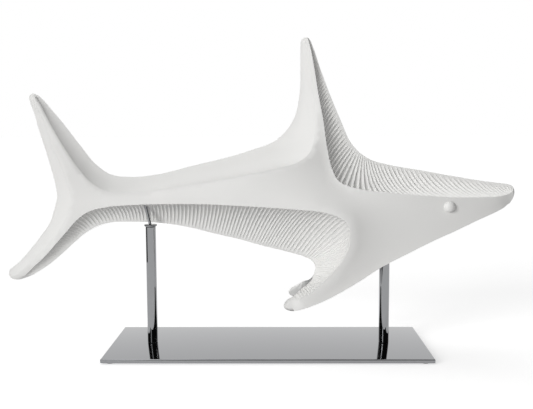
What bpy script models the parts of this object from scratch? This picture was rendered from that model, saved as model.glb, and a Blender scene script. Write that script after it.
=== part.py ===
# Shark figurine: one matt white casting with fluted coves, held by two pins on two round posts
# over a mirror-polished plate. +X runs to the nose, +Z is up and -Y is the near side.

from math import cos, pi, radians, sin

import bmesh
import bpy
import numpy as np
from mathutils import Matrix, Vector
from mathutils.bvhtree import BVHTree
from mathutils.geometry import delaunay_2d_cdt

# Sizes of the figure, in metres and radians
FIGURE_LENGTH = 0.6395
FIGURE_LIFT = 0.0495
FIGURE_YAW = radians(-5.5)
FLUTE_DEPTH = 0.0016
FLUTE_LIMIT = 0.2
FLUTE_RUNOUT = 0.16
FLUTE_EDGE = 0.35
FLUTE_SLANT = 0.6
COVE_SAG = 0.13
COVE_KNIFE = 0.2
CHEST_ARCH = 0.006
EYE_DIAMETER = 0.0138
EYE_RISE = 0.0062
SOCKET_DEPTH = 0.011

# Sizes of the stand
PLATE_LENGTH = 0.394
PLATE_WIDTH = 0.146
PLATE_THICKNESS = 0.005
PLATE_EASE = 0.0012
FOOT_DIAMETER = 0.012
FOOT_THICKNESS = 0.0012
FOOT_INSET = 0.0105
POST_DIAMETER = 0.0127
POST_INSET = 0.0505
POST_CHAMFER = 0.0004
CAP_DIAMETER = 0.016
CAP_THICKNESS = 0.0024
CAP_ROUND = 0.0009
PIN_DIAMETER = 0.0036
PIN_GRIP = 0.009
REAR_PIN_RISE = 0.0235
REAR_PIN_REACH = -0.006
FRONT_PIN_RISE = 0.012
FRONT_PIN_REACH = -0.001
PIN_CHAMFER = 0.0003
SCREW_DIAMETER = 0.005
SCREW_LENGTH = 0.018
SCREW_HEAD_DIAMETER = 0.0096
SCREW_POINT = 0.3
SCREW_SINK = 0.0003
SCREW_KEY = 0.003
SCREW_KEY_DEPTH = 0.0018

# Gaps between pieces that seat on or in one another
SEAT_GAP = 0.0003
BORE_GAP = 0.0003

# Outlines of the figure in millimetres, before scaling: x along it, z above the tips of the
# pectoral fins. Lines on the middle plane hold (x, z), lines on the side hold (x, half width, z).
BROW_CREST = [
    (47.6, 330), (50.4, 329.2), (52.7, 326.4), (56, 319), (65, 293), (78, 259), (91, 228),
    (102, 204), (113, 191), (128, 181.5), (147, 176), (184, 169.5), (220, 163), (255.4, 157),
    (276.8, 154.2), (289.6, 152.6), (294.5, 151), (297.4, 148.2),
]
BROW_EDGE = [
    (50.5, 2.6, 327.6), (53.7, 4.5, 316), (57, 6.5, 301), (63, 10, 265), (70, 15, 228),
    (75, 21, 195), (81, 28, 171), (86, 32, 161), (92, 34, 155.5), (101, 36, 152),
    (115, 37.5, 148.5), (145, 38, 145), (172, 36.5, 142.5), (199, 33, 140.5), (235, 26, 138.5),
    (263, 18.5, 138.5), (281, 12, 139.2), (288, 8, 140.6), (293.2, 5, 142.6), (296, 3.5, 145.3),
]
BACK_CREST = [
    (47.6, 330), (44, 329), (41.9, 326), (41.2, 321), (41, 305), (39.5, 259), (33.5, 233),
    (26, 220.5), (11, 206), (-19, 194), (-49, 185), (-95, 174), (-141, 163), (-172.5, 160),
    (-201, 163.5), (-217, 174), (-239.5, 200.5), (-262, 229.5), (-276.9, 247), (-288.5, 260),
    (-295.6, 265), (-299.8, 265.9),
]
BACK_EDGE = [
    (46, 2.4, 327.4), (48.9, 4, 314), (53, 7, 292), (57.6, 10, 258), (59, 16, 220),
    (58, 21, 202.5), (54, 27, 191), (41, 33, 180), (18, 36, 173.5), (-10, 36, 167.5),
    (-50, 31, 159.5), (-86, 26, 153.5), (-119, 22, 148), (-148.5, 18, 143), (-184, 14.5, 141),
    (-203, 12.8, 143), (-221.5, 11.5, 152.5), (-238.5, 10, 170.5), (-252, 9, 189),
    (-269, 7, 216), (-280.1, 5.3, 235.7), (-287.2, 4, 249.5), (-294.5, 2.6, 261),
]
TAIL_CREST = [
    (-299.8, 265.9), (-303.5, 263.4), (-304.9, 259.5), (-303.7, 255), (-298.8, 241),
    (-292.8, 218.5), (-280, 175), (-273, 145.5), (-272, 135), (-275, 122), (-282, 102.5),
    (-298.6, 79), (-305, 71.2), (-312, 63.2), (-318.9, 55.7), (-326.4, 48.2), (-331.2, 44.4),
    (-336.2, 40.7), (-339.9, 37), (-341, 32.8),
]
TAIL_EDGE = [
    (-299.4, 2.4, 260.8), (-294.2, 3.6, 249.5), (-286.5, 5, 235), (-273, 7.5, 198.5),
    (-261, 9.5, 170.5), (-251, 11.5, 144), (-249.5, 12, 127.5), (-257.5, 11, 107.5),
    (-273, 8.5, 85), (-296, 6, 60.5), (-318.5, 4.5, 40.5), (-329, 3, 31.5),
]
TAIL_TIP = [
    (-341, 32.8), (-339.9, 29), (-336.5, 26), (-329, 24.8), (-318, 27.6), (-308, 31.5),
]
TAIL_TIP_EDGE = [(-329, 3, 31.5), (-323, 3, 29.5), (-317, 3, 31.5)]
KEEL_CREST = [
    (-308, 31.5), (-301, 35.5), (-284, 46.5), (-268, 59.5), (-251, 74.5), (-235, 87.5),
    (-219, 96.5), (-200, 101.5), (-176, 102.5), (-137, 101.5), (-99, 96), (-65, 88), (-35, 81.5),
    (-5, 73.5), (25, 66.5), (46, 60.5), (55, 56), (59.5, 48), (58, 39.5),
]
KEEL_EDGE = [
    (-317, 3, 31.5), (-302.5, 5.5, 44.5), (-284.5, 8, 60.5), (-271.5, 9.5, 74.5),
    (-258, 11, 88.5), (-246, 12.5, 101.5), (-237, 13.5, 109.5), (-224, 15, 117),
    (-205, 17, 122), (-173, 20, 125.5), (-131, 24, 127.5), (-70, 32, 128.5), (-30, 38, 127.5),
    (9, 43, 126), (47, 47.5, 124), (77, 50.5, 120.5), (90, 52, 116), (98, 53, 110.5),
    (102, 54, 102.5), (102.5, 54.5, 92.5), (100, 54, 77.5), (93, 52, 64), (82, 49, 50),
    (69, 46, 35.5), (54, 43.5, 22.5), (42.5, 41.5, 16.3),
]
FIN_INNER_EDGE = [
    (58, 0, 39.5), (56.5, 5, 35.5), (54, 10, 32), (51, 14.5, 29), (45, 22, 26), (41.5, 27, 23.5),
    (38.5, 30.5, 20.8), (34.7, 33, 17.6),
]
CHEST_LINE = [
    (58, 39.5), (72, 47), (90.5, 54.5), (115, 62), (139.5, 68.5), (164, 76), (200, 89),
    (235.5, 103), (270.5, 119), (289, 127), (293.3, 129.5),
]
CHIN_EDGE = [
    (34.7, 33, 17.6), (29.8, 34.5, 15.4), (25.6, 36.5, 11.9), (23.3, 38, 6.9), (25.1, 39, 3.6),
    (30.3, 39.5, 1.3), (38.1, 40, 1.1), (45.8, 40.5, 3.2), (57.9, 41.5, 7.7), (73.3, 42.3, 14.7),
    (90.3, 43, 24.3), (114.5, 43.5, 39.5), (138, 42.5, 55.5), (170.5, 39, 72.5),
    (198.5, 34.5, 86.5), (227, 28, 99), (255.5, 20.5, 112), (270, 15.5, 118), (285, 8.5, 125),
    (292, 3.5, 130),
]
NOSE_CREST = [(297.4, 148.2), (298.3, 143.8), (298.2, 140.3), (296.6, 135.2), (293.3, 129.5)]
NOSE_EDGE = [(296, 3.5, 145.3), (296.6, 3.5, 140.5), (295.2, 3.5, 135), (292, 3.5, 130)]
EYE_PLACE = (218.6, 127.5)

# Where single flutes run: the number of the flute, millimetres along the crest and millimetres
# along the side edge
BROW_GUIDES = [
    (0, 0, 0), (3, 12, 11.5), (8, 32, 32.5), (15, 61.5, 65), (21, 84.5, 93), (27, 114.5, 128),
    (31, 135.5, 151), (35, 150, 175.5), (38, 158.5, 197), (42, 168, 226.5), (46, 183, 250.5),
    (50, 203.5, 274), (54, 225, 301), (58, 250, 331), (61, 271, 348), (66, 302.5, 374),
    (69, 319, 385.5), (74, 347, 395),
]
KEEL_GUIDES = [
    (0, 0, 0), (5, 26, 20.5), (11, 55, 42.5), (15, 69, 60.5), (20, 86, 86), (24, 101, 108),
    (28, 119, 131.5), (35, 150, 169), (46, 197, 222.5), (57, 247, 279), (68, 291.5, 333),
    (77, 326, 379), (82, 343, 403), (86, 360, 423), (91, 382, 449), (94, 390, 463),
    (98, 396, 481), (102, 403, 501), (106, 409, 520),
]
FIN_GUIDES = [
    (0, 0, 520), (3, 8, 532), (6, 15, 543.5), (8, 20, 553), (10, 26.5, 561.5), (12, 34, 570),
    (14, 45, 576),
]

# How finely the curved surfaces are faceted
FLUTE_SAMPLES = 2
COVE_SHARES = (0, 0.16, 0.5, 0.84, 1)
BACK_COLUMNS = 46
TAIL_COLUMNS = 24
TIP_COLUMNS = 12
CHEST_COLUMNS = 22
NOSE_COLUMNS = 6
PANEL_GRID = 0.013
PANEL_CLEARANCE = 0.45
ROUND_SIDES = 28
EYE_SIDES = 20
WELD = 0.00002

NOSE_END = max(x for x, z in NOSE_CREST)
TAIL_END = min(x for x, z in TAIL_CREST)
SCALE = FIGURE_LENGTH / (NOSE_END - TAIL_END)

PLATE_BOTTOM = FOOT_THICKNESS + SEAT_GAP
PLATE_TOP = PLATE_BOTTOM + PLATE_THICKNESS
POST_BOTTOM = PLATE_TOP + SEAT_GAP

# The middle of the whole figure stands over the origin, so the stand lies off to one side of it
STAND_X = -SCALE * (NOSE_END + TAIL_END) / 2 * cos(FIGURE_YAW)
POST_SPACING = PLATE_LENGTH - 2 * POST_INSET


def clear_scene():
    for old in list(bpy.data.objects):
        bpy.data.objects.remove(old, do_unlink=True)


def add_collection(name):
    collection = bpy.data.collections.new(name)
    bpy.context.scene.collection.children.link(collection)
    return collection


def finish(name, colour, roughness, metallic):
    material = bpy.data.materials.new(name)
    material.use_nodes = True
    surface = material.node_tree.nodes["Principled BSDF"]
    surface.inputs["Base Color"].default_value = (*colour, 1)
    surface.inputs["Roughness"].default_value = roughness
    surface.inputs["Metallic"].default_value = metallic
    material.diffuse_color = (*colour, 1)
    return material


def add_piece(name, bm, material):
    """Close a bmesh into a named piece of the object."""
    mesh = bpy.data.meshes.new(name)
    bm.to_mesh(mesh)
    bm.free()
    mesh.materials.append(material)
    piece = bpy.data.objects.new(name, mesh)
    PARTS.objects.link(piece)
    return piece


def add_cutter(name, bm):
    mesh = bpy.data.meshes.new(name)
    bm.to_mesh(mesh)
    bm.free()
    cutter = bpy.data.objects.new(name, mesh)
    cutter.hide_render = True
    cutter.display_type = "WIRE"
    CUTTERS.objects.link(cutter)
    return cutter


def combine(piece, cutter, operation):
    change = piece.modifiers.new(cutter.name, "BOOLEAN")
    change.operation = operation
    change.solver = "EXACT"
    change.object = cutter


def flow(points, steps=12):
    """Smooth curve through the points, given as closely spaced points."""
    points = np.array(points, float)
    reach = travel(points)
    slopes = np.gradient(points, reach, axis=0)
    dense = []
    for i in range(len(points) - 1):
        span = reach[i + 1] - reach[i]
        for t in np.arange(steps) / steps:
            start = (1 + 2 * t) * (1 - t) ** 2 * points[i] + t * (1 - t) ** 2 * span * slopes[i]
            end = t * t * (3 - 2 * t) * points[i + 1] - t * t * (1 - t) * span * slopes[i + 1]
            dense.append(start + end)
    dense.append(points[-1])
    return np.array(dense)


def travel(points):
    """Distance along a run of points, at each of them."""
    return np.concatenate([[0], np.cumsum(np.linalg.norm(np.diff(points, axis=0), axis=1))])


class Line:
    """A smooth outline on the near half, read by the distance along it."""

    def __init__(self, outline):
        in_space = [(p[0], -p[1] if len(p) == 3 else 0, p[-1]) for p in outline]
        self.dense = flow(in_space) * SCALE
        self.reach = travel(self.dense)

    def at(self, distances):
        return np.stack([np.interp(distances, self.reach, axis) for axis in self.dense.T], axis=1)

    def spread(self, columns):
        return self.at(np.linspace(0, self.reach[-1], columns + 1))


def fluted_band(crest, edge, guides, edge_end):
    """Crest points, edge points and flute depths of a band, sample by sample.

    The flutes have sharp arrises with a hollow between them."""
    path = flow(guides) * (1, crest.reach[-1] / guides[-1][1], edge.reach[-1] / edge_end)
    flutes = guides[-1][0]
    ticks = np.linspace(0, flutes, flutes * FLUTE_SAMPLES + 1)
    phase = np.arange(len(ticks)) % FLUTE_SAMPLES / FLUTE_SAMPLES
    return (
        crest.at(np.interp(ticks, path[:, 0], path[:, 1])),
        edge.at(np.interp(ticks, path[:, 0], path[:, 2])),
        FLUTE_DEPTH * (1 - (2 * phase - 1) ** 2),
    )


def unit(vectors):
    return vectors / np.maximum(np.linalg.norm(vectors, axis=1, keepdims=True), 1e-9)


def across(points, chords):
    """Unit vectors in the side view, square to a line and pointing along the chords."""
    tangents = np.gradient(points, axis=0)
    square = unit(np.stack([-tangents[:, 2], 0 * tangents[:, 0], tangents[:, 0]], axis=1))
    side = np.sign((square * chords).sum(axis=1, keepdims=True))
    return square * side


def hollow(crest, edge):
    """How far the middle of a cove lies in from its straight chords."""
    chords = edge - crest
    normals = unit(np.cross(chords, np.gradient(crest + edge, axis=0)))
    normals = normals * np.sign(normals[:, 1:2])
    widths = np.linalg.norm(chords, axis=1)
    sag = np.minimum(COVE_SAG * widths, COVE_KNIFE * np.abs(chords[:, 1]))
    return normals * sag[:, None]


def skin_cove(shell, crest, edge, sink, depths):
    """Skin one cove from crest to edge and return its rows of points.

    The flutes run out before the thin crest, which stays whole, and fade at the side edge."""
    chords = edge - crest
    widths = np.maximum(np.linalg.norm(chords, axis=1), WELD)
    slope = np.clip(np.abs(chords[:, 1]) / widths, FLUTE_SLANT, 1)
    cuts = (np.minimum(depths, widths * FLUTE_LIMIT) / slope)[:, None]
    from_crest, from_edge = across(crest, chords), across(edge, chords)
    rows = []
    for share in COVE_SHARES:
        fade = min(1, share / FLUTE_RUNOUT, FLUTE_EDGE + (1 - FLUTE_EDGE) * (1 - share) / FLUTE_RUNOUT)
        into = unit(from_crest * (1 - share) + from_edge * share) * fade
        rows.append(crest + chords * share + sink * 4 * share * (1 - share) + into * cuts)
    rows = np.array(rows)
    skin(shell, rows)
    return rows


def skin(shell, rows):
    """Quads between rows that hold the same number of points."""
    net = [[shell.verts.new(point) for point in row] for row in rows]
    for low, high in zip(net, net[1:]):
        for i in range(len(low) - 1):
            shell.faces.new((low[i], low[i + 1], high[i + 1], high[i]))


def columns_between(crest, edge):
    """Straight columns of points from each crest point to its edge point."""
    shares = np.array(COVE_SHARES)[None, :, None]
    return crest[:, None] * (1 - shares) + edge[:, None] * shares


def inside(points, loop):
    """Which of the points lie inside a closed loop, in the side view."""
    x, z = points[:, :1], points[:, 1:]
    x0, z0 = loop[:, 0], loop[:, 1]
    x1, z1 = np.roll(x0, -1), np.roll(z0, -1)
    rise = np.where(z1 == z0, 1e-12, z1 - z0)
    crosses = ((z0 > z) != (z1 > z)) & (x < x0 + (z - z0) * (x1 - x0) / rise)
    return crosses.sum(axis=1) % 2 == 1


def skin_panel(shell, border):
    """Fill the smooth side panel inside its border, with its depth eased in from the border."""
    loop = border[:, [0, 2]]
    low, high = loop.min(axis=0), loop.max(axis=0)
    across_steps = np.arange(low[0], high[0], PANEL_GRID)
    up_steps = np.arange(low[1], high[1], PANEL_GRID * 3 ** 0.5 / 2)
    grid = np.array([
        (x + PANEL_GRID / 2 * (row % 2), z) for row, z in enumerate(up_steps) for x in across_steps
    ])
    grid = grid[inside(grid, loop)]
    gaps = np.linalg.norm(grid[:, None] - loop[None], axis=2).min(axis=1)
    grid = grid[gaps > PANEL_GRID * PANEL_CLEARANCE]
    flat = [Vector(point) for point in np.vstack([loop, grid])]
    ring = [(i, (i + 1) % len(loop)) for i in range(len(loop))]
    flat, _, faces, *_ = delaunay_2d_cdt(flat, ring, [], 1, 1e-7)
    flat = np.array([tuple(point) for point in flat])
    depth = ease_depth(flat, faces, border)
    verts = [shell.verts.new((x, y, z)) for (x, z), y in zip(flat, depth)]
    for face in faces:
        shell.faces.new([verts[i] for i in face])


def ease_depth(flat, faces, border):
    """Depth of the panel: fixed on its border, and evened out between neighbours inside."""
    nearest = np.linalg.norm(flat[:, None] - border[None, :, [0, 2]], axis=2)
    depth = border[nearest.argmin(axis=1), 1]
    free = nearest.min(axis=1) > 1e-6
    stiff = np.zeros((len(flat), len(flat)))
    for face in faces:
        for a, b in zip(face, face[1:] + face[:1]):
            pull = 1 / np.linalg.norm(flat[a] - flat[b])
            stiff[a, b] = stiff[b, a] = pull
    total = np.diag(stiff.sum(axis=1)) - stiff
    known = total[np.ix_(free, ~free)] @ depth[~free]
    depth[free] = np.linalg.solve(total[np.ix_(free, free)], -known)
    return depth


def plain_cove(shell, crest_outline, edge_outline, columns):
    crest, edge = Line(crest_outline).spread(columns), Line(edge_outline).spread(columns)
    return skin_cove(shell, crest, edge, hollow(crest, edge), np.zeros(columns + 1))


def half_shell():
    """The near half of the casting, open at the middle plane."""
    shell = bmesh.new()
    crest, edge, depths = fluted_band(
        Line(BROW_CREST), Line(BROW_EDGE), BROW_GUIDES, BROW_GUIDES[-1][2]
    )
    brow = skin_cove(shell, crest, edge, hollow(crest, edge), depths)
    back = plain_cove(shell, BACK_CREST, BACK_EDGE, BACK_COLUMNS)
    tail = plain_cove(shell, TAIL_CREST, TAIL_EDGE, TAIL_COLUMNS)

    # The band under the belly runs on down the rear face of the pectoral fin
    keel_edge, edge_end = Line(KEEL_EDGE), FIN_GUIDES[-1][2]
    keel = fluted_band(Line(KEEL_CREST), keel_edge, KEEL_GUIDES, edge_end)
    fin = fluted_band(Line(FIN_INNER_EDGE), keel_edge, FIN_GUIDES, edge_end)
    crest, edge, depths = (np.concatenate([a, b[1:]]) for a, b in zip(keel, fin))
    belly = skin_cove(shell, crest, edge, hollow(crest, edge), depths)
    fin_root = KEEL_GUIDES[-1][0] * FLUTE_SAMPLES
    fin_inner_edge = belly[0, fin_root:]

    # The inner face of the fin and the arched chest run on from each other to the chin edge
    chest_line = Line(CHEST_LINE).spread(CHEST_COLUMNS)
    under = np.vstack([fin_inner_edge[:0:-1], chest_line])
    chin_edge = Line(CHIN_EDGE).spread(len(under) - 1)
    chin_edge[0] = under[0]
    arch = np.zeros(under.shape)
    arch[-len(chest_line):, 2] = CHEST_ARCH * np.sin(np.linspace(0, pi, len(chest_line)))
    chest = skin_cove(shell, under, chin_edge, arch, np.zeros(len(under)))

    # Small end faces at the tip of the dorsal fin, both tips of the tail and the nose
    skin(shell, [brow[:, 0], back[:, 0]])
    skin(shell, [back[:, -1], tail[:, 0]])
    tip_edge = Line(TAIL_TIP_EDGE).spread(TIP_COLUMNS)[1:-1]
    tip = columns_between(Line(TAIL_TIP).spread(TIP_COLUMNS)[1:-1], tip_edge)
    skin(shell, [tail[:, -1], *tip, belly[:, 0]])
    nose_edge = Line(NOSE_EDGE).spread(NOSE_COLUMNS)[1:-1]
    nose = columns_between(Line(NOSE_CREST).spread(NOSE_COLUMNS)[1:-1], nose_edge)
    skin(shell, [brow[:, -1], *nose, chest[:, -1]])

    border = np.vstack([
        brow[-1], nose_edge, chest[-1][::-1], belly[1:-1, -1], belly[-1][::-1], tip_edge[::-1],
        tail[-1][::-1], back[-1][::-1],
    ])
    skin_panel(shell, border)
    bmesh.ops.remove_doubles(shell, verts=shell.verts, dist=WELD)
    bmesh.ops.recalc_face_normals(shell, faces=shell.faces)
    return shell


def eye_seat(tree):
    """Where the dome of the near eye sits on the side panel, and which way it faces."""
    x, z = np.array(EYE_PLACE) * SCALE
    place, facing, *_ = tree.ray_cast(Vector((x, -FIGURE_LENGTH, z)), Vector((0, 1, 0)))
    return place, facing if facing.y < 0 else -facing


def underside(tree, axis, x, y):
    """Height at which a line straight up from the plate meets the figure."""
    foot = axis.inverted() @ Vector((x, y, 0))
    start = Vector((foot.x, -abs(foot.y), -FIGURE_LENGTH))
    place, *_ = tree.ray_cast(start, Vector((0, 0, 1)))
    return (axis @ place).z


def rod(diameter, start, end):
    """A straight round bar between two points."""
    way = end - start
    place = Matrix.Translation((start + end) / 2) @ way.to_track_quat("Z", "Y").to_matrix().to_4x4()
    bm = bmesh.new()
    bmesh.ops.create_cone(
        bm, cap_ends=True, segments=ROUND_SIDES, radius1=diameter / 2, radius2=diameter / 2,
        depth=way.length, matrix=place,
    )
    return bm


def turned(profile):
    """A turned piece: a profile from the top of its outer side to the bottom, spun round Z."""
    bm = bmesh.new()
    verts = [bm.verts.new((radius, 0, height)) for radius, height in profile]
    edges = [bm.edges.new(pair) for pair in zip(verts, verts[1:])]
    bmesh.ops.spin(
        bm, geom=verts + edges, cent=(0, 0, 0), axis=(0, 0, 1), angle=2 * pi, steps=ROUND_SIDES,
        use_merge=True,
    )
    bmesh.ops.remove_doubles(bm, verts=bm.verts, dist=WELD)
    bmesh.ops.recalc_face_normals(bm, faces=bm.faces)
    return bm


def smooth(piece, angle=radians(35)):
    piece.data.shade_smooth()
    piece.data.set_sharp_from_angle(angle=angle)


def build_figure(axis, material):
    shell = half_shell()
    tree = BVHTree.FromBMesh(shell)
    place, facing = eye_seat(tree)
    body = add_piece("shark_body", shell, material)
    body.parent = axis
    whole = body.modifiers.new("both_sides", "MIRROR")
    whole.use_axis = (False, True, False)
    whole.use_clip = True
    whole.merge_threshold = WELD

    radius = ((EYE_DIAMETER / 2) ** 2 + EYE_RISE ** 2) / (2 * EYE_RISE)
    centre = place - facing * (radius - EYE_RISE)
    for side, name in ((1, "eye_near"), (-1, "eye_far")):
        dome = bmesh.new()
        bmesh.ops.create_uvsphere(
            dome, u_segments=EYE_SIDES, v_segments=EYE_SIDES // 2, radius=radius,
            matrix=Matrix.Translation((centre.x, side * centre.y, centre.z)),
        )
        dome = add_cutter(name, dome)
        dome.parent = axis
        combine(body, dome, "UNION")
    return body, tree


def build_plate(metal, steel, rubber):
    bm = bmesh.new()
    bmesh.ops.create_cube(bm, size=1)
    bmesh.ops.scale(bm, vec=(PLATE_LENGTH, PLATE_WIDTH, PLATE_THICKNESS), verts=bm.verts)
    plate = add_piece("base_plate", bm, metal)
    plate.location = (STAND_X, 0, PLATE_BOTTOM + PLATE_THICKNESS / 2)
    edges = plate.modifiers.new("eased_edges", "BEVEL")
    edges.width = PLATE_EASE
    edges.segments = 2

    head_bottom = PLATE_BOTTOM + SCREW_SINK
    cone_top = head_bottom + (SCREW_HEAD_DIAMETER - SCREW_DIAMETER) / 2
    shank, head = SCREW_DIAMETER / 2, SCREW_HEAD_DIAMETER / 2
    tip, point = head_bottom + SCREW_LENGTH, shank * SCREW_POINT
    for name, side in (("rear", -1), ("front", 1)):
        x = STAND_X + side * POST_SPACING / 2
        hole = add_cutter(name + "_countersink", turned([
            (0, POST_BOTTOM), (shank + BORE_GAP, POST_BOTTOM), (shank + BORE_GAP, cone_top),
            (head + BORE_GAP, head_bottom), (head + BORE_GAP, FOOT_THICKNESS), (0, FOOT_THICKNESS),
        ]))
        hole.location.x = x
        combine(plate, hole, "DIFFERENCE")
        screw = add_piece(name + "_post_screw", turned([
            (0, tip), (shank - point, tip), (shank, tip - point), (shank, cone_top),
            (head, head_bottom), (0, head_bottom),
        ]), steel)
        screw.location.x = x
        smooth(screw)
        key = bmesh.new()
        bmesh.ops.create_cone(
            key, cap_ends=True, segments=6, radius1=SCREW_KEY / 3 ** 0.5,
            radius2=SCREW_KEY / 3 ** 0.5, depth=2 * SCREW_KEY_DEPTH,
        )
        key = add_cutter(name + "_key_hole", key)
        key.location = (x, 0, head_bottom)
        combine(screw, key, "DIFFERENCE")

    for across_name, x_side in (("left", -1), ("right", 1)):
        for along_name, y_side in (("near", -1), ("far", 1)):
            pad = bmesh.new()
            bmesh.ops.create_cone(
                pad, cap_ends=True, segments=ROUND_SIDES, radius1=FOOT_DIAMETER / 2,
                radius2=FOOT_DIAMETER / 2, depth=FOOT_THICKNESS,
            )
            pad = add_piece(f"foot_{across_name}_{along_name}", pad, rubber)
            x = STAND_X + x_side * (PLATE_LENGTH / 2 - FOOT_INSET)
            pad.location = (x, y_side * (PLATE_WIDTH / 2 - FOOT_INSET), FOOT_THICKNESS / 2)
            smooth(pad)


def build_holder(name, side, rise, reach, body, tree, axis, metal):
    """One post with its cap, and the pin that leans from it into the figure."""
    x = STAND_X + side * POST_SPACING / 2
    entry = Vector((x + reach, 0, underside(tree, axis.matrix_world, x + reach, 0)))
    cap_top = Vector((x, 0, entry.z - rise))
    lean = (entry - cap_top).normalized()

    post_top = cap_top.z - CAP_THICKNESS - SEAT_GAP
    radius, bore = POST_DIAMETER / 2, SCREW_DIAMETER / 2 + BORE_GAP
    bore_top = PLATE_BOTTOM + SCREW_SINK + SCREW_LENGTH + SEAT_GAP
    post = add_piece(name + "_post", turned([
        (0, post_top), (radius - POST_CHAMFER, post_top), (radius, post_top - POST_CHAMFER),
        (radius, POST_BOTTOM + POST_CHAMFER), (radius - POST_CHAMFER, POST_BOTTOM),
        (bore, POST_BOTTOM), (bore, bore_top), (0, bore_top),
    ]), metal)
    post.location.x = x
    smooth(post)

    rim = CAP_DIAMETER / 2 - CAP_ROUND
    bottom = cap_top.z - CAP_THICKNESS
    turns = [pi / 6 * step for step in range(4)]
    upper = [(rim + CAP_ROUND * sin(t), cap_top.z - CAP_ROUND * (1 - cos(t))) for t in turns]
    lower = [(rim + CAP_ROUND * cos(t), bottom + CAP_ROUND * (1 - sin(t))) for t in turns]
    cap = add_piece(name + "_cap", turned([(0, cap_top.z), *upper, *lower, (0, bottom)]), metal)
    cap.location.x = x
    smooth(cap)

    grip_end = cap_top - lean * PIN_GRIP
    pin_end = entry + lean * (SOCKET_DEPTH - SEAT_GAP)
    length, half = (pin_end - grip_end).length, PIN_DIAMETER / 2
    pin = add_piece(name + "_pin", turned([
        (0, length), (half - PIN_CHAMFER, length), (half, length - PIN_CHAMFER),
        (half, PIN_CHAMFER), (half - PIN_CHAMFER, 0), (0, 0),
    ]), metal)
    pin.location = grip_end
    pin.rotation_mode = "QUATERNION"
    pin.rotation_quaternion = lean.to_track_quat("Z", "Y")
    smooth(pin)

    bored = PIN_DIAMETER + 2 * BORE_GAP
    seat = add_cutter(name + "_pin_seat", rod(bored, grip_end - lean * SEAT_GAP, entry))
    combine(post, seat, "DIFFERENCE")
    combine(cap, seat, "DIFFERENCE")
    mouth = entry - lean * 2 * PIN_DIAMETER
    socket = add_cutter(name + "_socket", rod(bored, mouth, entry + lean * SOCKET_DEPTH))
    combine(body, socket, "DIFFERENCE")


clear_scene()
PARTS = add_collection("shark_figurine")
CUTTERS = add_collection("cutters")

cast_white = finish("matt_white_casting", (0.84, 0.84, 0.83), 0.55, 0.0)
mirror_steel = finish("mirror_polished_steel", (0.78, 0.78, 0.79), 0.05, 1.0)
plain_steel = finish("plain_steel", (0.45, 0.45, 0.46), 0.35, 1.0)
foot_rubber = finish("grey_foot_rubber", (0.35, 0.35, 0.35), 0.6, 0.0)

figure_axis = bpy.data.objects.new("figure_axis", None)
PARTS.objects.link(figure_axis)
figure_axis.location = (STAND_X, 0, PLATE_TOP + FIGURE_LIFT)
figure_axis.rotation_euler.z = FIGURE_YAW
bpy.context.view_layer.update()

figure, figure_tree = build_figure(figure_axis, cast_white)
build_plate(mirror_steel, plain_steel, foot_rubber)
holders = (
    ("rear", -1, REAR_PIN_RISE, REAR_PIN_REACH),
    ("front", 1, FRONT_PIN_RISE, FRONT_PIN_REACH),
)
for holder in holders:
    build_holder(*holder, figure, figure_tree, figure_axis, mirror_steel)
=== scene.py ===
from math import cos, pi, radians, sin

import bmesh
import bpy
import numpy as np
from mathutils import Matrix, Vector
from mathutils.bvhtree import BVHTree
from mathutils.geometry import delaunay_2d_cdt
from mathutils.kdtree import KDTree


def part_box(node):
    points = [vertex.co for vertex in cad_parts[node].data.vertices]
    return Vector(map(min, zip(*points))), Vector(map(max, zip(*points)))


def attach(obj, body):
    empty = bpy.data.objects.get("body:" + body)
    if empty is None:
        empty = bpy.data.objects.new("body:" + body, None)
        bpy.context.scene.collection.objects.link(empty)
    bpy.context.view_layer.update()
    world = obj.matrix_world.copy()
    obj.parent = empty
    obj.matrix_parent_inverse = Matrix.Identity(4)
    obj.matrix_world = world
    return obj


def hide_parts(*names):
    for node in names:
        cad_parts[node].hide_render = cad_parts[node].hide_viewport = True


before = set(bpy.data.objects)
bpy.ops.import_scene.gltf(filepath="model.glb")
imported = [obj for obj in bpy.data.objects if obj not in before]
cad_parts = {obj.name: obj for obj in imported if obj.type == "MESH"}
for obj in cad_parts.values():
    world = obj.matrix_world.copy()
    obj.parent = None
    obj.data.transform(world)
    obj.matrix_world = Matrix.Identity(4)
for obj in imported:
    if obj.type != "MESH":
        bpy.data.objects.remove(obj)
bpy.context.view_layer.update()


# The feet: four thin round pads, punched from grey silicone rubber sheet and stuck under the
# corners of the plate, so that the polished steel never meets the table. They are the CAD pieces.
def tone(hex_code):
    """An sRGB hex colour as the linear colour that a shader takes."""
    parts = [int(hex_code[i:i + 2], 16) / 255 for i in (0, 2, 4)]
    return (*[p / 12.92 if p <= 0.04045 else ((p + 0.055) / 1.055) ** 2.4 for p in parts], 1)


def add_node(tree, kind, sockets=None, **settings):
    """Add a node with its settings, and set or link its input sockets."""
    node = tree.nodes.new(kind)
    for name, value in settings.items():
        setattr(node, name, value)
    for name, value in (sockets or {}).items():
        if isinstance(value, bpy.types.NodeSocket):
            tree.links.new(value, node.inputs[name])
        else:
            node.inputs[name].default_value = value
    return node


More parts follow.
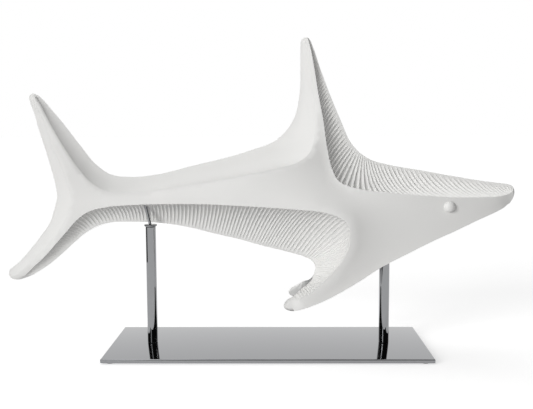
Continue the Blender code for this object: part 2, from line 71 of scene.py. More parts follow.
# Silicone rubber, calendered into sheet: dull grey, with the fine even bloom of its surface.
# The 0.5 mm bloom is drawn at 1 mm, so that it shows.
silicone_rubber = bpy.data.materials.new("silicone_rubber_calendered")
silicone_rubber.use_nodes = True
tree = silicone_rubber.node_tree
place = add_node(tree, "ShaderNodeTexCoord")
bloom = add_node(tree, "ShaderNodeTexNoise", {
    "Vector": place.outputs["Object"], "Scale": 1 / 0.001, "Detail": 3,
})
shade = add_node(tree, "ShaderNodeMix", {
    "Factor": bloom.outputs["Fac"], "A": tone("6A6B6C"), "B": tone("77787A"),
}, data_type="RGBA")
dimple = add_node(tree, "ShaderNodeBump", {
    "Height": bloom.outputs["Fac"], "Strength": 0.2, "Distance": 0.0002,
})
skin = tree.nodes["Principled BSDF"]
skin.inputs["Roughness"].default_value = 0.7
skin.inputs["IOR"].default_value = 1.43
tree.links.new(shade.outputs["Result"], skin.inputs["Base Color"])
tree.links.new(dimple.outputs["Normal"], skin.inputs["Normal"])
for foot in ("foot_left_near", "foot_left_far", "foot_right_near", "foot_right_far"):
    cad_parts[foot].data.materials.clear()
    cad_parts[foot].data.materials.append(silicone_rubber)


# The base plate: 5 mm stainless steel, cut to size, its edges eased round, and polished to a
# mirror. It rests on the feet and takes the two screws of the posts from below.
PLATE_EASE = 0.0012
plate_low, plate_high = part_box("base_plate")

# Stainless steel, mirror polished: clear reflections, a little hazed where the mop passed less,
# on sheet that is flat to a few hundredths of a millimetre over each 80 mm.
polished_steel = bpy.data.materials.new("stainless_steel_mirror_polished")
polished_steel.use_nodes = True
tree = polished_steel.node_tree
place = add_node(tree, "ShaderNodeTexCoord")
haze = add_node(tree, "ShaderNodeTexNoise", {
    "Vector": place.outputs["Object"], "Scale": 1 / 0.03, "Detail": 4,
})
clear = add_node(tree, "ShaderNodeMapRange", {
    "Value": haze.outputs["Fac"], "To Min": 0.015, "To Max": 0.05,
})
waves = add_node(tree, "ShaderNodeTexNoise", {
    "Vector": place.outputs["Object"], "Scale": 1 / 0.08, "Detail": 0,
})
flat = add_node(tree, "ShaderNodeBump", {
    "Height": waves.outputs["Fac"], "Strength": 0.3, "Distance": 0.00004,
})
metal = tree.nodes["Principled BSDF"]
metal.inputs["Base Color"].default_value = tone("929395")
metal.inputs["Metallic"].default_value = 1
tree.links.new(clear.outputs["Result"], metal.inputs["Roughness"])
tree.links.new(flat.outputs["Normal"], metal.inputs["Normal"])


def add_piece(name, bm, material):
    """Make a bmesh into a named piece of the figurine."""
    mesh = bpy.data.meshes.new(name)
    bm.to_mesh(mesh)
    bm.free()
    mesh.materials.append(material)
    piece = bpy.data.objects.new(name, mesh)
    bpy.context.scene.collection.objects.link(piece)
    return piece


def settle(piece, crease=35):
    """Turn a piece's modifiers into its mesh, smooth but for edges sharper than the crease."""
    bpy.context.view_layer.update()
    done = bpy.data.meshes.new_from_object(
        piece.evaluated_get(bpy.context.evaluated_depsgraph_get())
    )
    piece.modifiers.clear()
    piece.data = done
    done.shade_smooth()
    done.set_sharp_from_angle(angle=radians(crease))


slab = bmesh.new()
bmesh.ops.create_cube(slab, size=1)
bmesh.ops.scale(slab, vec=plate_high - plate_low, verts=slab.verts)
bmesh.ops.translate(slab, vec=(plate_low + plate_high) / 2, verts=slab.verts)
plate = add_piece("polished_plate", slab, polished_steel)
easing = plate.modifiers.new("eased_edges", "BEVEL")
easing.width = PLATE_EASE
easing.segments = 8
easing.harden_normals = False
settle(plate, crease=60)
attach(plate, "root")
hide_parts("base_plate")


# The posts: half-inch stainless bar, turned to length, tapped underneath for a countersunk screw
# through the plate and bored in the top for the pin. Polished like the plate.
ROUND = 128


def turned(profile, x):
    """A turned piece: a profile from the top of its outer side to the bottom, spun round Z."""
    bm = bmesh.new()
    verts = [bm.verts.new((radius, 0, height)) for radius, height in profile]
    edges = [bm.edges.new(pair) for pair in zip(verts, verts[1:])]
    bmesh.ops.spin(
        bm, geom=verts + edges, cent=(0, 0, 0), axis=(0, 0, 1), angle=2 * pi, steps=ROUND,
        use_merge=True,
    )
    bmesh.ops.remove_doubles(bm, verts=bm.verts, dist=0.000005)
    bmesh.ops.recalc_face_normals(bm, faces=bm.faces)
    bmesh.ops.translate(bm, vec=(x, 0, 0), verts=bm.verts)
    return bm


POST_EASE = 0.0004
POST_CORNER = POST_EASE * 0.3
for end in ("rear", "front"):
    low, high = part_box(end + "_post")
    middle, radius = (low + high) / 2, (high.y - low.y) / 2
    bar = add_piece(end + "_polished_post", turned([
        (0, high.z), (radius - POST_EASE, high.z), (radius - POST_CORNER, high.z - POST_CORNER),
        (radius, high.z - POST_EASE), (radius, high.z - 2 * POST_EASE),
        (radius, low.z + 2 * POST_EASE), (radius, low.z + POST_EASE),
        (radius - POST_CORNER, low.z + POST_CORNER), (radius - POST_EASE, low.z), (0, low.z),
    ], middle.x), polished_steel)
    settle(bar, crease=50)
    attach(bar, "root")
    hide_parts(end + "_post")


# The screws: plain countersunk steel screws with a hexagon key hole, driven up through the plate
# into the posts. They are the CAD pieces, and show only from below.
# Steel, cold headed and left bare: grey and a little dull, with a fine turned grain of 0.2 mm.
headed_steel = bpy.data.materials.new("bare_steel_cold_headed")
headed_steel.use_nodes = True
tree = headed_steel.node_tree
place = add_node(tree, "ShaderNodeTexCoord")
grain = add_node(tree, "ShaderNodeTexNoise", {
    "Vector": place.outputs["Object"], "Scale": 1 / 0.0002, "Detail": 2,
})
dull = add_node(tree, "ShaderNodeMapRange", {
    "Value": grain.outputs["Fac"], "To Min": 0.28, "To Max": 0.42,
})
shank = tree.nodes["Principled BSDF"]
shank.inputs["Base Color"].default_value = tone("9A9A9C")
shank.inputs["Metallic"].default_value = 1
tree.links.new(dull.outputs["Result"], shank.inputs["Roughness"])
for end in ("rear", "front"):
    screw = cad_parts[end + "_post_screw"]
    screw.data.materials.clear()
    screw.data.materials.append(headed_steel)


# The caps: turned stainless discs with a rounded rim, a little wider than the posts that they
# close, each bored through for its pin and polished with its post.
PIN_END = 0.0006


def pin_line(end):
    """The two ends of a pin's axis, from its lowest and highest points."""
    points = np.array([v.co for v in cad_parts[end + "_pin"].data.vertices])
    heights = points[:, 2]
    foot = points[heights < heights.min() + PIN_END].mean(axis=0)
    tip = points[heights > heights.max() - PIN_END].mean(axis=0)
    return Vector(foot), Vector(tip)


CAP_ROUND = 0.0009
CAP_STEPS = 8
for end in ("rear", "front"):
    low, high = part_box(end + "_cap")
    middle, radius = (low + high) / 2, (high.y - low.y) / 2
    rim = radius - CAP_ROUND
    turns = [pi / 2 * step / CAP_STEPS for step in range(CAP_STEPS + 1)]
    upper = [(rim + CAP_ROUND * sin(t), high.z - CAP_ROUND * (1 - cos(t))) for t in turns]
    lower = [(rim + CAP_ROUND * cos(t), low.z + CAP_ROUND * (1 - sin(t))) for t in turns]
    disc = add_piece(
        end + "_polished_cap", turned([(0, high.z), *upper, *lower, (0, low.z)], middle.x),
        polished_steel,
    )
    settle(disc, crease=50)
    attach(disc, "root")
    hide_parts(end + "_cap")


# The pins: ground and polished stainless wire, set in the posts and leaning into sockets under
# the belly and the chin.
PIN_RADIUS = 0.0018


def rod(start, stop, lean, radius):
    """A plain round rod between two points, along the direction that it leans in."""
    bm = bmesh.new()
    bmesh.ops.create_cone(
        bm, cap_ends=True, segments=ROUND // 2, radius1=radius, radius2=radius,
        depth=(stop - start).length,
        matrix=Matrix.Translation((start + stop) / 2)
        @ lean.to_track_quat("Z", "Y").to_matrix().to_4x4(),
    )
    return bm


for end in ("rear", "front"):
    foot, tip = pin_line(end)
    lean = (tip - foot).normalized()
    pin = add_piece(end + "_polished_pin", rod(foot, tip, lean, PIN_RADIUS), polished_steel)
    settle(pin, crease=50)
    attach(pin, "root")
    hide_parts(end + "_pin")


# The casting: the whole shark in one piece, from a carved pattern. Its coves run from sharp
# crests on the middle plane to lines on the side, and those over the brow, under the belly and
# down the back of the pectoral fins are cut into even flutes with sharp arrises between them.
FIGURE_LENGTH = 0.6395
FIGURE_LIFT = 0.0495
FIGURE_YAW = radians(-5.5)
BROW_SCOOP = 0.36
KEEL_SCOOP = 0.25
FIN_SCOOP = 0.18
FIN_TURN = (75, 106)
FLUTE_THROUGH = 0.55
FLUTE_RUNOUT = 0.08
FLUTE_EDGE = 0.2
COVE_SAG = 0.13
COVE_KNIFE = 0.2
CHEST_ARCH = 0.006

# Outlines in millimetres, z above the tips of the pectoral fins: (x, z) on the middle plane and
# (x, half width, z) on the side.
BROW_CREST = [
    (47.6, 330), (50.4, 329.2), (52.7, 326.4), (56, 319), (65, 293), (78, 259), (91, 228),
    (102, 204), (113, 191), (128, 181.5), (147, 176), (184, 169.5), (220, 163), (255.4, 157),
    (276.8, 154.2), (289.6, 152.6), (294.5, 151), (297.4, 148.2),
]
BROW_EDGE = [
    (50.5, 2.6, 327.6), (53.7, 4.5, 316), (57, 6.5, 301), (63, 10, 265), (70, 15, 228),
    (75, 21, 195), (81, 28, 171), (86, 32, 161), (92, 34, 155.5), (101, 36, 152),
    (115, 37.5, 148.5), (145, 38, 145), (172, 36.5, 142.5), (199, 33, 140.5), (235, 26, 138.5),
    (263, 18.5, 138.5), (281, 12, 139.2), (288, 8, 140.6), (293.2, 5, 142.6), (296, 3.5, 145.3),
]
BACK_CREST = [
    (47.6, 330), (44, 329), (41.9, 326), (41.2, 321), (41, 305), (39.5, 259), (33.5, 233),
    (26, 220.5), (11, 206), (-19, 194), (-49, 185), (-95, 174), (-141, 163), (-172.5, 160),
    (-201, 163.5), (-217, 174), (-239.5, 200.5), (-262, 229.5), (-276.9, 247), (-288.5, 260),
    (-295.6, 265), (-299.8, 265.9),
]
BACK_EDGE = [
    (46, 2.4, 327.4), (48.9, 4, 314), (53, 7, 292), (57.6, 10, 258), (59, 16, 220),
    (58, 21, 202.5), (54, 27, 191), (41, 33, 180), (18, 36, 173.5), (-10, 36, 167.5),
    (-50, 31, 159.5), (-86, 26, 153.5), (-119, 22, 148), (-148.5, 18, 143), (-184, 14.5, 141),
    (-203, 12.8, 143), (-221.5, 11.5, 152.5), (-238.5, 10, 170.5), (-252, 9, 189),
    (-269, 7, 216), (-280.1, 5.3, 235.7), (-287.2, 4, 249.5), (-294.5, 2.6, 261),
]
TAIL_CREST = [
    (-299.8, 265.9), (-303.5, 263.4), (-304.9, 259.5), (-303.7, 255), (-298.8, 241),
    (-292.8, 218.5), (-280, 175), (-273, 145.5), (-272, 135), (-275, 122), (-282, 102.5),
    (-298.6, 79), (-305, 71.2), (-312, 63.2), (-318.9, 55.7), (-326.4, 48.2), (-331.2, 44.4),
    (-336.2, 40.7), (-339.9, 37), (-341, 32.8),
]
TAIL_EDGE = [
    (-299.4, 2.4, 260.8), (-294.2, 3.6, 249.5), (-286.5, 5, 235), (-273, 7.5, 198.5),
    (-261, 9.5, 170.5), (-251, 11.5, 144), (-249.5, 12, 127.5), (-257.5, 11, 107.5),
    (-273, 8.5, 85), (-296, 6, 60.5), (-318.5, 4.5, 40.5), (-329, 3, 31.5),
]
TAIL_TIP = [
    (-341, 32.8), (-339.9, 29), (-336.5, 26), (-329, 24.8), (-318, 27.6), (-308, 31.5),
]
TAIL_TIP_EDGE = [(-329, 3, 31.5), (-323, 3, 29.5), (-317, 3, 31.5)]
KEEL_CREST = [
    (-308, 31.5), (-301, 35.5), (-284, 46.5), (-268, 59.5), (-251, 74.5), (-235, 87.5),
    (-219, 96.5), (-200, 101.5), (-176, 102.5), (-137, 101.5), (-99, 96), (-65, 88), (-35, 81.5),
    (-5, 73.5), (25, 66.5), (46, 60.5), (55, 56), (59.5, 48), (58, 39.5),
]
KEEL_EDGE = [
    (-317, 3, 31.5), (-302.5, 5.5, 44.5), (-284.5, 8, 60.5), (-271.5, 9.5, 74.5),
    (-258, 11, 88.5), (-246, 12.5, 101.5), (-237, 13.5, 109.5), (-224, 15, 117),
    (-205, 17, 122), (-173, 20, 125.5), (-131, 24, 127.5), (-70, 32, 128.5), (-30, 38, 127.5),
    (9, 43, 126), (47, 47.5, 124), (77, 50.5, 120.5), (90, 52, 116), (98, 53, 110.5),
    (102, 54, 102.5), (102.5, 54.5, 92.5), (100, 54, 77.5), (93, 52, 64), (82, 49, 50),
    (69, 46, 35.5), (54, 43.5, 22.5), (42.5, 41.5, 16.3),
]
FIN_INNER_EDGE = [
    (58, 0, 39.5), (56.5, 5, 35.5), (54, 10, 32), (51, 14.5, 29), (45, 22, 26), (41.5, 27, 23.5),
    (38.5, 30.5, 20.8), (34.7, 33, 17.6),
]
CHEST_LINE = [
    (58, 39.5), (72, 47), (90.5, 54.5), (115, 62), (139.5, 68.5), (164, 76), (200, 89),
    (235.5, 103), (270.5, 119), (289, 127), (293.3, 129.5),
]
CHIN_EDGE = [
    (34.7, 33, 17.6), (29.8, 34.5, 15.4), (25.6, 36.5, 11.9), (23.3, 38, 6.9), (25.1, 39, 3.6),
    (30.3, 39.5, 1.3), (38.1, 40, 1.1), (45.8, 40.5, 3.2), (57.9, 41.5, 7.7), (73.3, 42.3, 14.7),
    (90.3, 43, 24.3), (114.5, 43.5, 39.5), (138, 42.5, 55.5), (170.5, 39, 72.5),
    (198.5, 34.5, 86.5), (227, 28, 99), (255.5, 20.5, 112), (270, 15.5, 118), (285, 8.5, 125),
    (292, 3.5, 130),
]
NOSE_CREST = [(297.4, 148.2), (298.3, 143.8), (298.2, 140.3), (296.6, 135.2), (293.3, 129.5)]
NOSE_EDGE = [(296, 3.5, 145.3), (296.6, 3.5, 140.5), (295.2, 3.5, 135), (292, 3.5, 130)]
NOSE_END = max(x for x, z in NOSE_CREST)
TAIL_END = min(x for x, z in TAIL_CREST)
MILLIMETRE = FIGURE_LENGTH / (NOSE_END - TAIL_END)

# Where single flutes run: the number of the flute, millimetres along the crest and millimetres
# along the side edge
BROW_GUIDES = [
    (0, 0, 0), (3, 12, 11.5), (8, 32, 32.5), (15, 61.5, 65), (21, 84.5, 93), (27, 114.5, 128),
    (31, 135.5, 151), (35, 150, 175.5), (38, 158.5, 197), (42, 168, 226.5), (46, 183, 250.5),
    (50, 203.5, 274), (54, 225, 301), (58, 250, 331), (61, 271, 348), (66, 302.5, 374),
    (69, 319, 385.5), (74, 347, 395),
]
KEEL_GUIDES = [
    (0, 0, 0), (5, 26, 20.5), (11, 55, 42.5), (15, 69, 60.5), (20, 86, 86), (24, 101, 108),
    (28, 119, 131.5), (35, 150, 169), (46, 197, 222.5), (57, 247, 279), (68, 291.5, 333),
    (77, 326, 379), (82, 343, 403), (86, 360, 423), (91, 382, 449), (94, 390, 463),
    (98, 396, 481), (102, 403, 501), (106, 409, 520),
]
FIN_GUIDES = [
    (0, 0, 520), (3, 8, 532), (6, 15, 543.5), (8, 20, 553), (10, 26.5, 561.5), (12, 34, 570),
    (14, 45, 576),
]

# How finely the casting is faceted here
FLUTE_SAMPLES = 8
COVE_SHARES = [0, 0.02, 0.04, 0.08, 0.14, 0.24, 0.37, 0.5, 0.63, 0.76, 0.86, 0.92, 0.95, 0.98, 1]
BACK_COLUMNS = 150
TAIL_COLUMNS = 90
CHEST_COLUMNS = 90
TIP_COLUMNS = 14
PANEL_GRID = 0.006
WELD = 0.00002


def travel(points):
    """Distance along a run of points, at each of them."""
    return np.concatenate([[0], np.cumsum(np.linalg.norm(np.diff(points, axis=0), axis=1))])


def flow(points, steps=12):
    """Smooth curve through the points, given as closely spaced points."""
    points = np.array(points, float)
    reach = travel(points)
    slopes = np.gradient(points, reach, axis=0)
    dense = []
    for i in range(len(points) - 1):
        span = reach[i + 1] - reach[i]
        for t in np.arange(steps) / steps:
            start = (1 + 2 * t) * (1 - t) ** 2 * points[i] + t * (1 - t) ** 2 * span * slopes[i]
            end = t * t * (3 - 2 * t) * points[i + 1] - t * t * (1 - t) * span * slopes[i + 1]
            dense.append(start + end)
    dense.append(points[-1])
    return np.array(dense)


class CarvedLine:
    """A smooth outline on the near half, read by the distance along it."""

    def __init__(self, outline):
        in_space = [(p[0], -p[1] if len(p) == 3 else 0, p[-1]) for p in outline]
        self.dense = flow(in_space) * MILLIMETRE
        self.reach = travel(self.dense)

    def at(self, distances):
        return np.stack([np.interp(distances, self.reach, axis) for axis in self.dense.T], axis=1)

    def spread(self, columns):
        return self.at(np.linspace(0, self.reach[-1], columns + 1))


def fluted_band(crest, edge, guides, edge_end, scoop):
    """Crest points, edge points and scoops of a band, the scoops as shares of the flutes' pitch."""
    path = flow(guides) * (1, crest.reach[-1] / guides[-1][1], edge.reach[-1] / edge_end)
    ticks = np.linspace(0, guides[-1][0], guides[-1][0] * FLUTE_SAMPLES + 1)
    phase = np.arange(len(ticks)) % FLUTE_SAMPLES / FLUTE_SAMPLES
    return (
        crest.at(np.interp(ticks, path[:, 0], path[:, 1])),
        edge.at(np.interp(ticks, path[:, 0], path[:, 2])),
        scoop(ticks) * (1 - (2 * phase - 1) ** 2),
    )


def unit(vectors):
    return vectors / np.maximum(np.linalg.norm(vectors, axis=1, keepdims=True), 1e-9)


def cove_sink(crest, edge):
    """How far the middle of a cove lies in from its straight chords."""
    chords = edge - crest
    normals = unit(np.cross(chords, np.gradient(crest + edge, axis=0)))
    normals = normals * np.sign(normals[:, 1:2])
    widths = np.linalg.norm(chords, axis=1)
    sag = np.minimum(COVE_SAG * widths, COVE_KNIFE * np.abs(chords[:, 1]))
    return normals * sag[:, None]


def skin_rows(shell, rows):
    """Quads between rows that hold the same number of points."""
    net = [[shell.verts.new(point) for point in row] for row in rows]
    for low, high in zip(net, net[1:]):
        for i in range(len(low) - 1):
            shell.faces.new((low[i], low[i + 1], high[i + 1], high[i]))


def skin_cove(shell, crest, edge, sink, scoops):
    """Skin one cove from crest to edge, with its flutes scooped in square to its surface.

    They fade at the edge, and run out at the crest, where the casting is very thin."""
    chords = edge - crest
    rows = []
    for share in COVE_SHARES:
        row = crest + chords * share + sink * 4 * share * (1 - share)
        down, along = chords + sink * 4 * (1 - 2 * share), np.gradient(row, axis=0)
        inward = unit(np.cross(down, along))
        inward *= np.sign((inward * sink).sum())
        pitch = np.linalg.norm(np.cross(along, unit(down)), axis=1) * FLUTE_SAMPLES
        fade = min(1, FLUTE_EDGE + (1 - share) / FLUTE_RUNOUT * (1 - FLUTE_EDGE))
        thin = FLUTE_THROUGH * np.abs(row[:, 1]) / np.maximum(np.abs(inward[:, 1]), FLUTE_THROUGH)
        rows.append(row + inward * np.minimum(scoops * pitch * fade, thin)[:, None])
    rows = np.array(rows)
    skin_rows(shell, rows)
    return rows


def plain_cove(shell, crest_outline, edge_outline, columns):
    crest, edge = CarvedLine(crest_outline).spread(columns), CarvedLine(edge_outline).spread(columns)
    return skin_cove(shell, crest, edge, cove_sink(crest, edge), np.zeros(columns + 1))


def columns_between(crest, edge):
    """Straight columns of points from each crest point to its edge point."""
    shares = np.array(COVE_SHARES)[None, :, None]
    return crest[:, None] * (1 - shares) + edge[:, None] * shares


def inside(points, loop):
    """Which of the points lie inside a closed loop, in the side view."""
    x, z = points[:, :1], points[:, 1:]
    x0, z0 = loop[:, 0], loop[:, 1]
    x1, z1 = np.roll(x0, -1), np.roll(z0, -1)
    rise = np.where(z1 == z0, 1e-12, z1 - z0)
    crosses = ((z0 > z) != (z1 > z)) & (x < x0 + (z - z0) * (x1 - x0) / rise)
    return crosses.sum(axis=1) % 2 == 1


def ease_depth(flat, faces, border):
    """Depth of the side panel: fixed on its border, and evened out between neighbours inside."""
    nearest = np.linalg.norm(flat[:, None] - border[None, :, [0, 2]], axis=2)
    depth = border[nearest.argmin(axis=1), 1]
    free = nearest.min(axis=1) > 1e-6
    stiff = np.zeros((len(flat), len(flat)))
    for face in faces:
        for a, b in zip(face, face[1:] + face[:1]):
            stiff[a, b] = stiff[b, a] = 1 / np.linalg.norm(flat[a] - flat[b])
    total = np.diag(stiff.sum(axis=1)) - stiff
    known = total[np.ix_(free, ~free)] @ depth[~free]
    depth[free] = np.linalg.solve(total[np.ix_(free, free)], -known)
    return depth


def skin_panel(shell, border):
    """Fill the smooth side panel inside its border."""
    loop = border[:, [0, 2]]
    low, high = loop.min(axis=0), loop.max(axis=0)
    grid = np.array([
        (x + PANEL_GRID / 2 * (row % 2), z)
        for row, z in enumerate(np.arange(low[1], high[1], PANEL_GRID * 3 ** 0.5 / 2))
        for x in np.arange(low[0], high[0], PANEL_GRID)
    ])
    grid = grid[inside(grid, loop)]
    grid = grid[np.linalg.norm(grid[:, None] - loop[None], axis=2).min(axis=1) > PANEL_GRID / 2]
    flat = [Vector(point) for point in np.vstack([loop, grid])]
    ring = [(i, (i + 1) % len(loop)) for i in range(len(loop))]
    flat, _, faces, *_ = delaunay_2d_cdt(flat, ring, [], 1, 1e-7)
    flat = np.array([tuple(point) for point in flat])
    depth = ease_depth(flat, faces, border)
    verts = [shell.verts.new((x, y, z)) for (x, z), y in zip(flat, depth)]
    for face in faces:
        shell.faces.new([verts[i] for i in face])


half = bmesh.new()
crest, edge, scoops = fluted_band(
    CarvedLine(BROW_CREST), CarvedLine(BROW_EDGE), BROW_GUIDES, BROW_GUIDES[-1][2],
    lambda flute: BROW_SCOOP,
)
brow = skin_cove(half, crest, edge, cove_sink(crest, edge), scoops)
back = plain_cove(half, BACK_CREST, BACK_EDGE, BACK_COLUMNS)
tail = plain_cove(half, TAIL_CREST, TAIL_EDGE, TAIL_COLUMNS)

# The band under the belly runs on, shallower, down the rear face of the pectoral fin
keel_edge, edge_end = CarvedLine(KEEL_EDGE), FIN_GUIDES[-1][2]
keel = fluted_band(
    CarvedLine(KEEL_CREST), keel_edge, KEEL_GUIDES, edge_end,
    lambda flute: np.interp(flute, FIN_TURN, (KEEL_SCOOP, FIN_SCOOP)),
)
fin = fluted_band(
    CarvedLine(FIN_INNER_EDGE), keel_edge, FIN_GUIDES, edge_end,
    lambda flute: FIN_SCOOP,
)
crest, edge, scoops = (np.concatenate([a, b[1:]]) for a, b in zip(keel, fin))
belly = skin_cove(half, crest, edge, cove_sink(crest, edge), scoops)

# The inner face of the fin and the arched chest run on from each other to the chin edge
chest_line = CarvedLine(CHEST_LINE).spread(CHEST_COLUMNS)
under = np.vstack([belly[0, KEEL_GUIDES[-1][0] * FLUTE_SAMPLES:][:0:-1], chest_line])
chin_edge = CarvedLine(CHIN_EDGE).spread(len(under) - 1)
chin_edge[0] = under[0]
arch = np.zeros(under.shape)
arch[-len(chest_line):, 2] = CHEST_ARCH * np.sin(np.linspace(0, pi, len(chest_line)))
chest = skin_cove(half, under, chin_edge, arch, np.zeros(len(under)))

# Small end faces at the tip of the dorsal fin, both tips of the tail and the nose
skin_rows(half, [brow[:, 0], back[:, 0]])
skin_rows(half, [back[:, -1], tail[:, 0]])
tip_edge = CarvedLine(TAIL_TIP_EDGE).spread(TIP_COLUMNS)[1:-1]
tip = columns_between(CarvedLine(TAIL_TIP).spread(TIP_COLUMNS)[1:-1], tip_edge)
skin_rows(half, [tail[:, -1], *tip, belly[:, 0]])
nose_edge = CarvedLine(NOSE_EDGE).spread(TIP_COLUMNS)[1:-1]
nose = columns_between(CarvedLine(NOSE_CREST).spread(TIP_COLUMNS)[1:-1], nose_edge)
skin_rows(half, [brow[:, -1], *nose, chest[:, -1]])
skin_panel(half, np.vstack([
    brow[-1], nose_edge, chest[-1][::-1], belly[1:-1, -1], belly[-1][::-1], tip_edge[::-1],
    tail[-1][::-1], back[-1][::-1],
]))
bmesh.ops.remove_doubles(half, verts=half.verts, dist=WELD)
bmesh.ops.recalc_face_normals(half, faces=half.faces)
near_half = BVHTree.FromBMesh(half)

# Polyester resin, cast and sprayed with matt white lacquer: a soft even white that stays bright
# in the hollows. Its fine spray grain of 0.3 mm is drawn at 1.2 mm, and is kept very faint.
lacquered_casting = bpy.data.materials.new("cast_resin_matt_white_lacquer")
lacquered_casting.use_nodes = True
tree = lacquered_casting.node_tree
place = add_node(tree, "ShaderNodeTexCoord")
coats = add_node(tree, "ShaderNodeTexNoise", {
    "Vector": place.outputs["Object"], "Scale": 1 / 0.07, "Detail": 3,
})
white = add_node(tree, "ShaderNodeMix", {
    "Factor": coats.outputs["Fac"], "A": tone("EDEDEB"), "B": tone("F1F0EE"),
}, data_type="RGBA")
spray = add_node(tree, "ShaderNodeTexNoise", {
    "Vector": place.outputs["Object"], "Scale": 1 / 0.0012, "Detail": 2,
})
matt = add_node(tree, "ShaderNodeMapRange", {
    "Value": spray.outputs["Fac"], "To Min": 0.5, "To Max": 0.62,
})
grain = add_node(tree, "ShaderNodeBump", {
    "Height": spray.outputs["Fac"], "Strength": 0.15, "Distance": 0.00003,
})
lacquer = tree.nodes["Principled BSDF"]
lacquer.inputs["IOR"].default_value = 1.48
tree.links.new(white.outputs["Result"], lacquer.inputs["Base Color"])
tree.links.new(matt.outputs["Result"], lacquer.inputs["Roughness"])
tree.links.new(grain.outputs["Normal"], lacquer.inputs["Normal"])

shark = add_piece("fluted_shark", half, lacquered_casting)
both_sides = shark.modifiers.new("both_sides", "MIRROR")
both_sides.use_axis = (False, True, False)
both_sides.use_clip = True
both_sides.merge_threshold = WELD


# The eyes: plain round domes, cast in one with the head, high on the side panel behind the nose.
EYE_PLACE = (218.6, 127.5)
EYE_DIAMETER = 0.0138
EYE_RISE = 0.0062


def combine(piece, tool, operation):
    """Join or cut a piece with a shape that is hidden afterwards."""
    tool.hide_render = True
    change = piece.modifiers.new(tool.name, "BOOLEAN")
    change.operation = operation
    change.solver = "EXACT"
    change.object = tool


seat, facing, *_ = near_half.ray_cast(
    Vector((EYE_PLACE[0] * MILLIMETRE, -1, EYE_PLACE[1] * MILLIMETRE)), Vector((0, 1, 0))
)
facing = facing if facing.y < 0 else -facing
dome_radius = ((EYE_DIAMETER / 2) ** 2 + EYE_RISE ** 2) / (2 * EYE_RISE)
centre = seat - facing * (dome_radius - EYE_RISE)
tools = []
for side, name in ((1, "near_eye"), (-1, "far_eye")):
    dome = bmesh.new()
    bmesh.ops.create_uvsphere(
        dome, u_segments=64, v_segments=40, radius=dome_radius,
        matrix=Matrix.Translation((centre.x, side * centre.y, centre.z)),
    )
    tools.append(add_piece(name, dome, lacquered_casting))
    combine(shark, tools[-1], "UNION")

stand_x = (plate_low.x + plate_high.x) / 2
on_the_stand = Matrix.Translation((stand_x, 0, plate_high.z + FIGURE_LIFT)) @ Matrix.Rotation(
    FIGURE_YAW, 4, "Z"
)


# The sockets: blind holes drilled up into the belly and the chin for the two pins.
SOCKET_CLEARANCE = 0.0003
for end in ("rear", "front"):
    foot, tip = (on_the_stand.inverted() @ point for point in pin_line(end))
    lean = (tip - foot).normalized()
    top = tip + lean * SOCKET_CLEARANCE
    drill = rod(foot, top, lean, PIN_RADIUS + SOCKET_CLEARANCE)
    tools.append(add_piece(end + "_drill", drill, lacquered_casting))
    combine(shark, tools[-1], "DIFFERENCE")
settle(shark, crease=24)
for tool in tools:
    bpy.data.objects.remove(tool, do_unlink=True)

# The hollows of the flutes are smooth, the tips of the fins are rounded over, and the side panel
# is blended by hand into the plain coves of the back and the tail
in_flutes = [
    rows[1:-1, column] for rows in (brow, belly) for column in range(rows.shape[1])
    if column % FLUTE_SAMPLES
]
soft_points = [
    Vector((x, side * y, z)) for x, y, z in np.vstack([back[-1], tail[-1], *in_flutes])
    for side in (1, -1)
]
soft_places = KDTree(len(soft_points))
for i, point in enumerate(soft_points):
    soft_places.insert(point, i)
soft_places.balance()
FIN_TIP = Vector((0.031, 0.038, 0.012))
FIN_TIP_ROUND = 0.012
soft = [
    soft_places.find(vertex.co)[2] < WELD
    or (Vector((vertex.co.x, abs(vertex.co.y), vertex.co.z)) - FIN_TIP).length < FIN_TIP_ROUND
    for vertex in shark.data.vertices
]
for edge in shark.data.edges:
    if soft[edge.vertices[0]] or soft[edge.vertices[1]]:
        edge.use_edge_sharp = False
shark.data.transform(on_the_stand)
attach(shark, "root")
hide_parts("shark_body")


# The studio: a pale seamless floor, one lamp at the front left, a weaker and softer one high on
# the left, and a little even light from all round. Black curtains, two far off with a bright gap
# between them and two close by, show only in the polished steel: they are painted reflections,
# sheets that glow a fixed dim grey, take no light and cast no shadow.
AMBIENT = 0.22
FLOOR_LIFT = 0.56
FLOOR_SIZE = 30
CURTAIN_POINTS = 40


def seen_directly(tree):
    """1 for rays from the camera, the polished steel or clear pieces, and 0 for the light."""
    ray = add_node(tree, "ShaderNodeLightPath")
    camera_or_glossy = add_node(tree, "ShaderNodeMath", {
        0: ray.outputs["Is Camera Ray"], 1: ray.outputs["Is Glossy Ray"],
    }, operation="ADD")
    return add_node(tree, "ShaderNodeMath", {
        0: camera_or_glossy.outputs["Value"], 1: ray.outputs["Is Transmission Ray"],
    }, operation="ADD", use_clamp=True).outputs["Value"]


paper = bpy.data.materials.new("seamless_white_paper")
paper.use_nodes = True
tree = paper.node_tree
tree.nodes.clear()
lift = add_node(tree, "ShaderNodeMath", {0: seen_directly(tree), 1: FLOOR_LIFT}, operation="MULTIPLY")
sheet = add_node(tree, "ShaderNodeBsdfDiffuse", {"Color": tone("E8E8E8")})
glow = add_node(tree, "ShaderNodeEmission", {"Strength": lift.outputs["Value"]})
both = add_node(tree, "ShaderNodeAddShader", {
    0: sheet.outputs["BSDF"], 1: glow.outputs["Emission"],
})
add_node(tree, "ShaderNodeOutputMaterial", {"Surface": both.outputs["Shader"]})

ground = bmesh.new()
bmesh.ops.create_grid(ground, x_segments=1, y_segments=1, size=FLOOR_SIZE)
floor = add_piece("studio_floor", ground, paper)
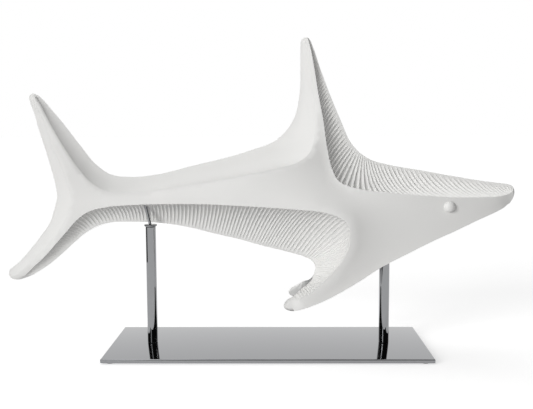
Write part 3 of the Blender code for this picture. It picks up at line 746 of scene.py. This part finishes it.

# Painted reflection: the curtains glow a fixed dim grey of their own and are lit by no lamp.
painted_reflection_cloth = bpy.data.materials.new("studio_cloth_painted_reflection")
painted_reflection_cloth.use_nodes = True
tree = painted_reflection_cloth.node_tree
tree.nodes.clear()
painted_dim_glow = add_node(tree, "ShaderNodeEmission", {"Color": tone("202020"), "Strength": 1})
add_node(tree, "ShaderNodeOutputMaterial", {"Surface": painted_dim_glow.outputs["Emission"]})
wall = bmesh.new()
# Each curtain: metres away, metres high, and its start and stop in degrees round from the front
curtains = (
    (10, 20, -130, -32), (10, 20, -16, 130),
    (0.75, 0.7, -118, -78), (0.95, 0.9, 80, 100),
)
for away, height, start, stop in curtains:
    turns = [radians(t) for t in np.linspace(start, stop, CURTAIN_POINTS)]
    low = [wall.verts.new((away * sin(t), -away * cos(t), 0)) for t in turns]
    high = [wall.verts.new((away * sin(t), -away * cos(t), height)) for t in turns]
    for i in range(len(low) - 1):
        wall.faces.new((low[i], low[i + 1], high[i + 1], high[i]))
painted_reflection_walls = add_piece("walls_painted_reflection", wall, painted_reflection_cloth)
# Hidden from the camera, from diffuse light and from shadows, the curtains only paint dark
# reflections into the steel.
painted_reflection_walls.visible_camera = False
painted_reflection_walls.visible_diffuse = False
painted_reflection_walls.visible_transmission = False
painted_reflection_walls.visible_shadow = False

room = bpy.data.worlds.new("studio_room")
bpy.context.scene.world = room
room.use_nodes = True
tree = room.node_tree
tree.nodes.clear()
level = add_node(tree, "ShaderNodeMapRange", {
    "Value": seen_directly(tree), "To Min": AMBIENT, "To Max": 1,
})
light = add_node(tree, "ShaderNodeBackground", {
    "Color": (1, 1, 1, 1), "Strength": level.outputs["Result"],
})
add_node(tree, "ShaderNodeOutputWorld", {"Surface": light.outputs["Background"]})

# Each lamp: its name, the way it stands from the figure, its brightness and spread in degrees
lamps = (
    ("front_left_lamp", (-0.66, -0.69, 0.3), 0.56, 24),
    ("high_left_lamp", (-0.45, 0.25, 0.85), 0.24, 50),
)
for name, towards, brightness, spread in lamps:
    lamp = bpy.data.lights.new(name, "SUN")
    lamp.energy = brightness * pi
    lamp.angle = radians(spread)
    lamp = bpy.data.objects.new(name, lamp)
    lamp.rotation_mode = "QUATERNION"
    lamp.rotation_quaternion = Vector(towards).to_track_quat("Z", "Y")
    bpy.context.scene.collection.objects.link(lamp)

# The camera, fitted to the plate's corners and the posts: its place from the middle of the
# plate's top, in metres, and how it is turned, tilted down and rolled, in degrees
FOCAL_MM, FILM_MM = 49.98, 36
CAMERA_RIGHT, CAMERA_BACK, CAMERA_UP = 0.0107, -0.9182, 0.2669
CAMERA_TURN, CAMERA_TILT, CAMERA_ROLL = 0.74, 5.69, -0.23
lens = bpy.data.cameras.new("view_from_the_side")
lens.sensor_width = FILM_MM
lens.lens = FOCAL_MM
camera = bpy.data.objects.new("view_from_the_side", lens)
bpy.context.scene.collection.objects.link(camera)
bpy.context.scene.camera = camera
camera.location = (stand_x + CAMERA_RIGHT, CAMERA_BACK, plate_high.z + CAMERA_UP)
camera.rotation_mode = "XYZ"
camera.matrix_world = (
    Matrix.Translation(camera.location) @ Matrix.Rotation(radians(CAMERA_TURN), 4, "Z")
    @ Matrix.Rotation(radians(90 - CAMERA_TILT), 4, "X")
    @ Matrix.Rotation(radians(CAMERA_ROLL), 4, "Z")
)
bpy.context.scene.view_settings.view_transform = "Standard"
